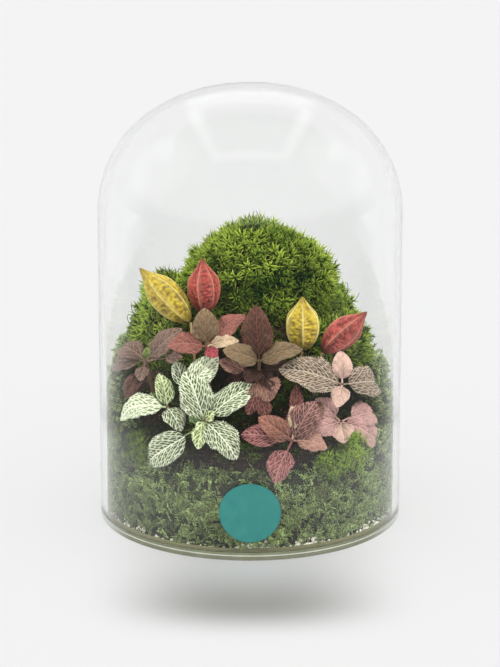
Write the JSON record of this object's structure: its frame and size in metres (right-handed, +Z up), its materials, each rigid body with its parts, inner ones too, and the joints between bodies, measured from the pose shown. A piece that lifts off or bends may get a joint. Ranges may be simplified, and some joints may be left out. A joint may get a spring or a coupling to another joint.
{
  "type": "glass plant terrarium",
  "caption": "Clear glass bell jar on a glass base plate, filled with a soil and moss hill planted with veined nerve plants and ribbed dried seed pods.",
  "frame": {"origin": "middle of the glass base plate's underside, on the surface that the jar stands on", "axes": "+Z up through the top of the dome, -Y towards the front with the planting slope and the round sticker"},
  "size_m": [0.2, 0.2009, 0.29],
  "materials": {
    "clear_glass": "clear blown glass, polished, slightly hazy low down",
    "label_vinyl": "smooth satin sticker, bare teal",
    "pumice": "pale dusty pumice grit",
    "soil": "dark crumbly potting soil",
    "sheet_moss": "dull olive feathery moss strands",
    "cushion_moss": "bright star-like moss shoots",
    "white_veined_leaf": "green leaf with a cream vein net",
    "purple_leaf": "brown-purple leaf, faint veins",
    "red_leaf": "salmon-red and olive leaf, pink veins",
    "maroon_leaf": "dark maroon leaf with a pink midrib",
    "brown_leaf": "grey-brown leaf with a pink midrib",
    "dusky_pink_leaf": "dusky pink leaf with a pink vein net",
    "olive_leaf": "olive-grey leaf with a beige vein net",
    "pink_leaf": "light pink leaf",
    "yellow_pod": "dyed yellow dried pod, ribbed and wrinkled",
    "red_pod": "dyed red dried pod, ribbed and wrinkled",
    "pick_wood": "plain thin bamboo pick"
  },
  "bodies": {
    "root": {"glass_dome": "clear_glass", "glass_base_plate": "clear_glass", "label": "label_vinyl", "pumice_layer": "pumice", "soil": "soil", "sheet_moss_front": "sheet_moss", "sheet_moss_front_right": "sheet_moss", "sheet_moss_back_right": "sheet_moss", "sheet_moss_back": "sheet_moss", "sheet_moss_back_left": "sheet_moss", "sheet_moss_front_left": "sheet_moss", "cushion_moss_top": "cushion_moss", "cushion_moss_left": "cushion_moss", "cushion_moss_right": "cushion_moss", "cushion_moss_back": "cushion_moss", "nerve_plant_white_left": "white_veined_leaf", "nerve_plant_white_right": "white_veined_leaf", "nerve_plant_white_back": "white_veined_leaf", "nerve_plant_purple_left": "purple_leaf", "nerve_plant_red": "red_leaf", "nerve_plant_maroon": "maroon_leaf", "nerve_plant_brown": "brown_leaf", "nerve_plant_dusky": "dusky_pink_leaf", "nerve_plant_olive": "olive_leaf", "nerve_plant_pink": "pink_leaf", "pod_yellow_left": "yellow_pod", "pod_red_left": "red_pod", "pod_yellow_right": "yellow_pod", "pod_red_right": "red_pod", "pick_yellow_left": "pick_wood", "pick_red_left": "pick_wood", "pick_yellow_right": "pick_wood", "pick_red_right": "pick_wood"}
  },
  "joints": []
}
